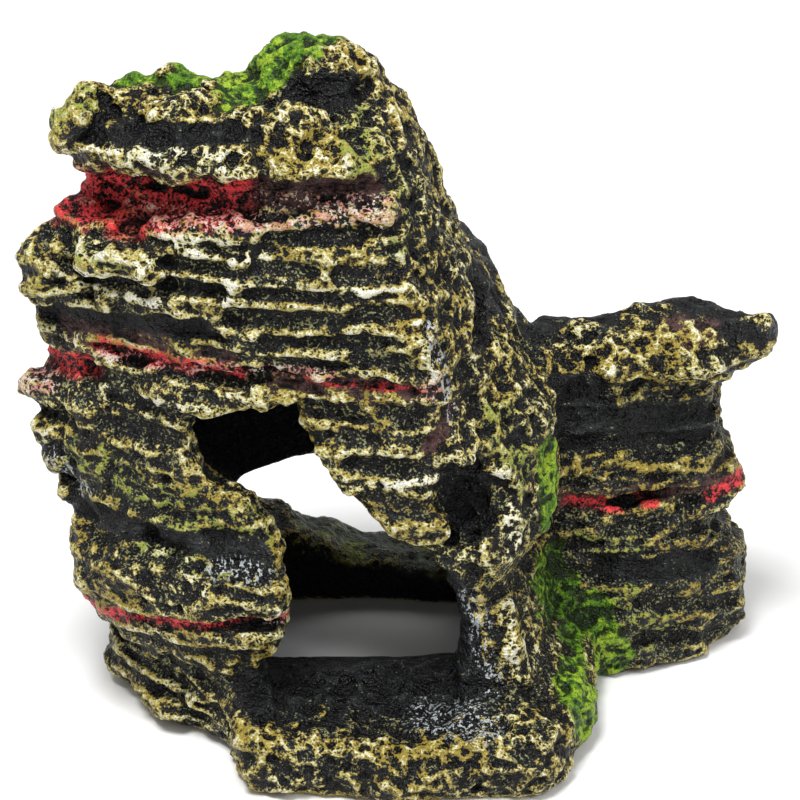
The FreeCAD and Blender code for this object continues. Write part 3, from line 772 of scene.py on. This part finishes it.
def rock(name):
    """One casting's carved mesh. Neighbours lap by a hair at the skin and part inside."""
    start, distance = own_distance[name]
    part = window(start, distance.shape)
    own = distance <= nearest_distance[part] + 1e-6
    others = np.where(own, second_distance[part], nearest_distance[part])
    lap = (LIP + GAP) * smooth(-1.8, -0.6, skin[part]) - GAP
    share = (distance - others) / 2 - lap
    soft = np.maximum(LIP - np.abs(skin[part] - share), 0.0) / LIP
    points, triangles, quads = polygons_of(np.maximum(skin[part], share) + soft * soft * LIP / 4, start)
    points[:, 2] = np.maximum(points[:, 2], 0.0)
    normals = gradient_at(skin, points)
    attributes = {
        "ridge": np.tanh(sample(soft_fine, points) / 0.13),
        "bulk": np.tanh(sample(soft_wide, points) / 0.5),
        "crusty": blend_weights(CRUSTY, points),
        "sky": openness_at(points, normals),
    }
    for number, (paint, strokes) in enumerate(PAINT.items()):
        attributes[paint] = covered(points, strokes, 0.3, 100 + number)
    return mesh_from(name, points, triangles[:, ::-1], quads[:, ::-1], attributes)


# ---------------------------------------------------------------- materials

class Nodes:
    """Short calls for building a node tree."""

    def __init__(self, owner):
        owner.use_nodes = True
        self.tree = owner.node_tree
        self.tree.nodes.clear()

    def add(self, kind, inputs=None, **settings):
        node = self.tree.nodes.new(kind)
        for key, value in settings.items():
            setattr(node, key, value)
        for key, value in (inputs or {}).items():
            if isinstance(value, bpy.types.NodeSocket):
                self.tree.links.new(value, node.inputs[key])
            else:
                node.inputs[key].default_value = value
        return node

    def math(self, operation, a, b=0.0, c=0.0):
        return self.add("ShaderNodeMath", {0: a, 1: b, 2: c}, operation=operation).outputs[0]

    def total(self, *terms):
        """Sum of (socket, factor) pairs."""
        result = 0.0
        for socket, factor in terms:
            result = self.math("MULTIPLY_ADD", socket, factor, result)
        return result

    def product(self, *sockets):
        result = sockets[0]
        for socket in sockets[1:]:
            result = self.math("MULTIPLY", result, socket)
        return result

    def ramp(self, value, low, high):
        node = self.add("ShaderNodeMapRange", {"Value": value, "From Min": low, "From Max": high},
                        interpolation_type="SMOOTHSTEP")
        return node.outputs["Result"]

    def mix(self, factor, a, b):
        node = self.add("ShaderNodeMix", {"Factor": factor}, data_type="RGBA")
        for key, value in ((6, a), (7, b)):
            if isinstance(value, bpy.types.NodeSocket):
                self.tree.links.new(value, node.inputs[key])
            else:
                node.inputs[key].default_value = (*value, 1.0)
        return node.outputs[2]

    def attribute(self, name):
        return self.add("ShaderNodeAttribute", attribute_name=name).outputs["Fac"]

    def stretched(self, vector, scale):
        return self.add("ShaderNodeMapping", {"Vector": vector, "Scale": scale}).outputs["Vector"]

    def noise(self, vector, scale, detail=2.0, roughness=0.5):
        """Noise about zero."""
        node = self.add("ShaderNodeTexNoise",
                        {"Vector": vector, "Scale": scale, "Detail": detail, "Roughness": roughness})
        return self.math("SUBTRACT", node.outputs["Fac"], 0.5)

    def warped(self, vector, scale, amount):
        """The same places, pushed about by noise."""
        push = self.add("ShaderNodeTexNoise", {"Vector": vector, "Scale": scale, "Detail": 1.0})
        push = self.add("ShaderNodeVectorMath", {0: push.outputs["Color"], 1: (0.5, 0.5, 0.5)},
                        operation="SUBTRACT")
        push = self.add("ShaderNodeVectorMath", {0: push.outputs[0], "Scale": amount}, operation="SCALE")
        return self.add("ShaderNodeVectorMath", {0: vector, 1: push.outputs[0]}, operation="ADD").outputs[0]

    def pinholes(self, vector, scale, size):
        """1 in small round holes of differing sizes."""
        cell = self.add("ShaderNodeTexVoronoi", {"Vector": vector, "Scale": scale})
        number = self.add("ShaderNodeSeparateColor", {"Color": cell.outputs["Color"]}).outputs["Red"]
        edge = self.math("MULTIPLY_ADD", number, 2.2 * size, -0.5 * size)
        return self.ramp(self.math("SUBTRACT", edge, cell.outputs["Distance"]), -0.06, 0.06)

    def threads(self, vector, scale, width):
        """1 on the thin walls between random cells."""
        cell = self.add("ShaderNodeTexVoronoi", {"Vector": vector, "Scale": scale},
                        feature="DISTANCE_TO_EDGE")
        return self.ramp(cell.outputs["Distance"], width, 0.3 * width)


def srgb(red, green, blue):
    """Linear colour from 0..255 display values."""
    shares = (red / 255, green / 255, blue / 255)
    return tuple(((v + 0.055) / 1.055) ** 2.4 if v > 0.04 else v / 12.92 for v in shares)


PITCH = srgb(5, 5, 6)
CHARCOAL = srgb(12, 13, 14)
SLATE = srgb(38, 41, 43)
SALT = srgb(140, 140, 98)
BROWN = srgb(76, 60, 28)
OCHRE = srgb(150, 131, 52)
STRAW = srgb(200, 192, 124)
CREAM = srgb(226, 224, 208)
CRIMSON = srgb(226, 64, 68)
WINE = srgb(122, 34, 38)
MAUVE = srgb(84, 58, 56)
PINK = srgb(206, 130, 122)
MOSS = srgb(84, 128, 20)
LIME = srgb(146, 172, 44)
LICHEN = srgb(140, 150, 62)
FERN = srgb(22, 38, 12)
# the lighter grey painted on the rear sill's top: painted light
LIT_SILL_GREY = srgb(92, 100, 88)
OLIVE = srgb(52, 70, 12)
FROST = srgb(178, 184, 186)


def rock_material(name, less_paint_and_shade):
    """Painted stone; the second argument is how much less paint the brush left than elsewhere, and on the
    wing it also paints the whole rock darker as painted shade.
    """
    material = bpy.data.materials.new(name)
    n = Nodes(material)
    spot = n.add("ShaderNodeTexCoord").outputs["Object"]
    ridge = n.attribute("ridge")
    bulk = n.attribute("bulk")
    bare = n.attribute("bare")
    crusty = n.attribute("crusty")
    # reach: how open a place is. Paint is kept out of enclosed places, where a brush hardly reaches, and the
    # bare stone there is darkened as painted shade.
    reach = n.ramp(n.attribute("sky"), 0.14, 0.42)
    grain = n.noise(spot, 2300.0, 1.0, 0.5)
    tooth = n.noise(spot, 1100.0, 2.0, 0.6)
    mottle = n.noise(spot, 400.0, 2.0, 0.55)
    patches = n.noise(spot, 90.0, 2.0, 0.5)
    streaks = n.noise(n.stretched(spot, (240.0, 240.0, 1500.0)), 1.0, 2.0, 0.6)
    hairs = n.noise(n.stretched(spot, (1500.0, 1500.0, 330.0)), 1.0, 2.0, 0.6)
    warped = n.warped(spot, 700.0, 0.0009)
    pinholes = n.math("MAXIMUM", n.pinholes(warped, 620.0, 0.26), n.pinholes(warped, 1250.0, 0.27))
    threads = n.math("MAXIMUM", n.threads(warped, 420.0, 0.14), n.threads(warped, 900.0, 0.13))

    # Bare cast stone: charcoal and slate, salted with what the brush left, with painted shade that darkens it
    # towards black in the hollows and creases and to charcoal in enclosed places.
    # Painted shade: the bulk and ridge terms below make hollows and creases darker and blacker.
    shade = n.ramp(n.total((mottle, 1.0), (streaks, 0.8), (bulk, 0.14), (crusty, -0.16)), -0.2, 0.22)
    stone = n.mix(shade, CHARCOAL, SLATE)
    pepper_and_crease_shade = n.ramp(n.total((grain, 1.0), (tooth, 0.8), (ridge, 0.12), (bulk, 0.06), (crusty, -0.05)),
                    -0.16, -0.04)
    stone = n.mix(pepper_and_crease_shade, PITCH, stone)
    salt = n.total((grain, 1.0), (tooth, 0.5), (ridge, 0.07), (mottle, 0.5), (streaks, 0.4), (bare, -0.2))
    salt = n.ramp(salt, 0.09, 0.15)
    stone = n.mix(n.product(salt, reach), stone, SALT)
    crust_dark_and_shade = n.ramp(n.total((mottle, 1.0), (ridge, 0.2)), 0.1, -0.1)
    stone = n.mix(n.product(crusty, crust_dark_and_shade), stone, PITCH)
    # Painted shade: enclosed places are darkened to plain charcoal, as if in shadow.
    stone = n.mix(reach, CHARCOAL, stone)

    # Dry-brushed paint catches what stands out, first ochre and then cream, and skips the pinholes.
    specks = n.total((tooth, 2.5), (grain, 2.1), (mottle, 1.6), (streaks, 1.4), (pinholes, -1.2))
    crust_web = n.product(threads, crusty)
    rise = n.total((specks, 1.0), (ridge, 1.15), (bulk, 0.5), (crust_web, 0.9), (crusty, -0.6))
    load = n.total((patches, 1.5), (n.attribute("ochre"), 0.7), (n.attribute("cream"), 0.4),
                   (bare, -1.8), (n.attribute("crimson"), -0.1))
    # A rock's value lowers the paint cover here; on the wing this is painted shade that darkens the whole
    # rock.
    cover = n.math("SUBTRACT", n.total((rise, 1.0), (load, 1.0)), less_paint_and_shade)
    ochre = n.product(n.ramp(cover, 0.4, 1.0), reach)
    pale = n.total((cover, 1.0), (patches, -2.4), (n.attribute("cream"), 0.5), (n.attribute("ochre"), -0.5))
    earth = n.mix(n.ramp(cover, 0.5, 1.2), BROWN, OCHRE)
    earth = n.mix(n.ramp(pale, 0.9, 1.8), earth, STRAW)
    earth = n.mix(n.ramp(pale, 1.45, 2.3), earth, CREAM)
    colour = n.mix(ochre, stone, earth)

    # Yellow-green lichen tints what the brush has reached.
    lichen = n.ramp(n.total((mottle, 1.0), (tooth, 0.5)), -0.12, 0.16)
    lichen = n.product(n.attribute("lichen"), lichen, reach)
    tint = n.mix(n.ramp(cover, 0.1, 0.9), FERN, LICHEN)
    colour = n.mix(n.product(lichen, n.ramp(cover, -0.3, 0.9)), colour, tint)

    # Red and brown glazes, thin over the dark stone and broken by its pits.
    brown = n.ramp(n.total((tooth, 1.0), (mottle, 1.0), (streaks, 0.6)), -0.25, 0.15)
    brown = n.product(n.attribute("umber"), brown)
    colour = n.mix(n.product(brown, n.ramp(cover, 1.0, 0.3), reach), colour, MAUVE)
    red = n.total((tooth, 1.3), (grain, 1.3), (mottle, 0.8), (streaks, 0.6), (ridge, 0.08), (pinholes, -0.2))
    red = n.product(n.attribute("crimson"), n.ramp(red, -0.22, 0.06))
    glaze = n.mix(n.ramp(n.total((tooth, 1.0), (mottle, 1.0), (ridge, 0.1)), -0.26, 0.06), WINE, CRIMSON)
    colour = n.mix(n.product(red, n.ramp(reach, 0.0, 0.3)), colour, glaze)
    blush = n.total((tooth, 1.3), (grain, 1.3), (ridge, 0.2), (streaks, 0.5), (pinholes, -0.2))
    blush = n.product(n.attribute("pink"), n.ramp(blush, 0.02, 0.2))
    colour = n.mix(blush, colour, n.mix(n.ramp(n.total((mottle, 1.0), (tooth, 0.8)), -0.1, 0.3), PINK, CREAM))

    # Moss: dark fern green deep down, bright on the tufts.
    tufts = n.total((mottle, 1.3), (tooth, 1.3), (ridge, 0.3), (bulk, 0.15), (grain, 0.8))
    tufts = n.ramp(tufts, -0.25, 0.35)
    colour = n.mix(n.product(n.ramp(n.attribute("moss"), 0.1, 0.7), n.ramp(mottle, -0.3, 0.1)), colour, OLIVE)
    green = n.mix(tufts, FERN, MOSS)
    bright = n.ramp(n.total((patches, 1.0), (mottle, 1.2), (tooth, 1.2), (ridge, 0.14)), 0.04, 0.34)
    green = n.mix(bright, green, LIME)
    moss = n.total((n.attribute("moss"), 1.0), (mottle, 1.8), (tooth, 1.4), (grain, 1.0), (ridge, 0.2))
    moss = n.ramp(moss, 0.4, 0.8)
    colour = n.mix(n.product(moss, n.ramp(n.attribute("moss"), 0.05, 0.3)), colour, green)

    # Painted light: the top of the sill behind the chamber is painted a lighter grey, as if lit from behind
    # and above, with moss on its highest edge.
    lit_sill_top = n.product(n.attribute("grey"), n.ramp(n.total((mottle, 1.0), (tooth, 0.6)), -0.3, 0.1))
    edge = n.ramp(n.total((patches, 1.0), (mottle, 0.8)), 0.0, 0.16)
    colour = n.mix(lit_sill_top, colour, n.mix(edge, LIT_SILL_GREY, LICHEN))

    # Bluish-white strokes, dragged downward.
    scratch = n.ramp(n.total((hairs, 1.6), (grain, 0.8), (ridge, 0.08)), 0.08, 0.22)
    colour = n.mix(n.product(n.attribute("frost"), scratch), colour, FROST)

    relief = n.total((grain, 0.6), (tooth, 1.0), (mottle, 0.8), (streaks, 0.5), (pinholes, -0.6),
                     (threads, 0.15))
    bump = n.add("ShaderNodeBump", {"Height": relief, "Strength": 1.0, "Distance": 0.0008})
    sheen = n.ramp(n.total((tooth, 1.0), (mottle, 1.0)), -0.2, 0.2)
    roughness = n.math("MULTIPLY_ADD", sheen, 0.25, 0.33)
    surface = n.add("ShaderNodeBsdfPrincipled", {
        "Base Color": colour, "Roughness": roughness, "Specular IOR Level": 0.28,
        "Normal": bump.outputs["Normal"]})
    n.add("ShaderNodeOutputMaterial", {"Surface": surface.outputs["BSDF"]})
    return material


# ---------------------------------------------------------------- the object

# How much less paint the brush left on some rocks, or more where it is negative. The wing's large value is
# painted shade: it paints the whole wing darker, as if in shadow.
LESS_PAINT_AND_SHADE = {"wing_rock": 0.42, "rear_rock": 0.1, "sill_rock": 0.18, "summit_rock": 0.12, "flank_rock": 0.03,
        "strata_rock": -0.12, "pillar_rock": -0.12, "cap_rock": -0.04}
slot_of = {entry["node"]: entry["material_slot"] for entry in frame["record"]["subparts"]}
materials = {}
for name in NAMES:
    slot = slot_of[name]
    if slot not in materials:
        materials[slot] = rock_material(slot + "_paint", LESS_PAINT_AND_SHADE.get(slot, 0.0))
    mesh = rock(name)
    mesh.materials.append(materials[slot])
    piece = bpy.data.objects.new(name + "_rock", mesh)
    bpy.context.scene.collection.objects.link(piece)
    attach(piece, "root")
    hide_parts(name)


# ---------------------------------------------------------------- floor, light and camera

def add_floor():
    half = 1.5
    mesh = bpy.data.meshes.new("floor")
    corners = [(-half, -half, 0), (half, -half, 0), (half, half, 0), (-half, half, 0)]
    mesh.from_pydata(corners, [], [(0, 1, 2, 3)])
    floor = bpy.data.objects.new("floor", mesh)
    bpy.context.scene.collection.objects.link(floor)
    material = bpy.data.materials.new("floor")
    n = Nodes(material)
    surface = n.add("ShaderNodeBsdfPrincipled", {"Base Color": (0.92, 0.92, 0.92, 1), "Roughness": 0.9})
    n.add("ShaderNodeOutputMaterial", {"Surface": surface.outputs["BSDF"]})
    mesh.materials.append(material)


def add_light(name, place, target, size, power):
    data = bpy.data.lights.new(name, "AREA")
    data.size = size
    data.energy = power
    light = bpy.data.objects.new(name, data)
    light.location = place
    light.rotation_euler = (Vector(target) - Vector(place)).to_track_quat("-Z", "Y").to_euler()
    bpy.context.scene.collection.objects.link(light)


def add_camera():
    data = bpy.data.cameras.new("camera")
    camera = bpy.data.objects.new("camera", data)
    target = Vector((-0.00015, 0.0, 0.0554))
    elevation = math.radians(27)
    away = 0.52
    camera.location = target + away * Vector((0, -math.cos(elevation), math.sin(elevation)))
    camera.rotation_euler = (target - camera.location).to_track_quat("-Z", "Y").to_euler()
    data.lens = 137.7
    data.clip_start = 0.01
    bpy.context.scene.collection.objects.link(camera)
    bpy.context.scene.camera = camera


def add_world():
    """Soft white light all round; the backdrop that the camera sees is brighter than the light it gives."""
    world = bpy.data.worlds.new("studio")
    bpy.context.scene.world = world
    n = Nodes(world)
    white = (1, 1, 1, 1)
    given = n.add("ShaderNodeBackground", {"Color": white, "Strength": 0.38}).outputs["Background"]
    seen = n.add("ShaderNodeBackground", {"Color": white, "Strength": 1.0}).outputs["Background"]
    by_camera = n.add("ShaderNodeLightPath").outputs["Is Camera Ray"]
    mixed = n.add("ShaderNodeMixShader", {0: by_camera, 1: given, 2: seen}).outputs["Shader"]
    n.add("ShaderNodeOutputWorld", {"Surface": mixed})


add_floor()
add_world()
middle = (0, 0, 0.06)
add_light("key", (-0.16, -0.25, 0.86), middle, 0.3, 8.2)
add_light("fill", (0.55, -0.42, 0.6), middle, 0.4, 2.4)
add_light("rim", (0.3, 0.4, 0.85), middle, 0.5, 1.5)
add_camera()
bpy.context.scene.view_settings.view_transform = "Standard"
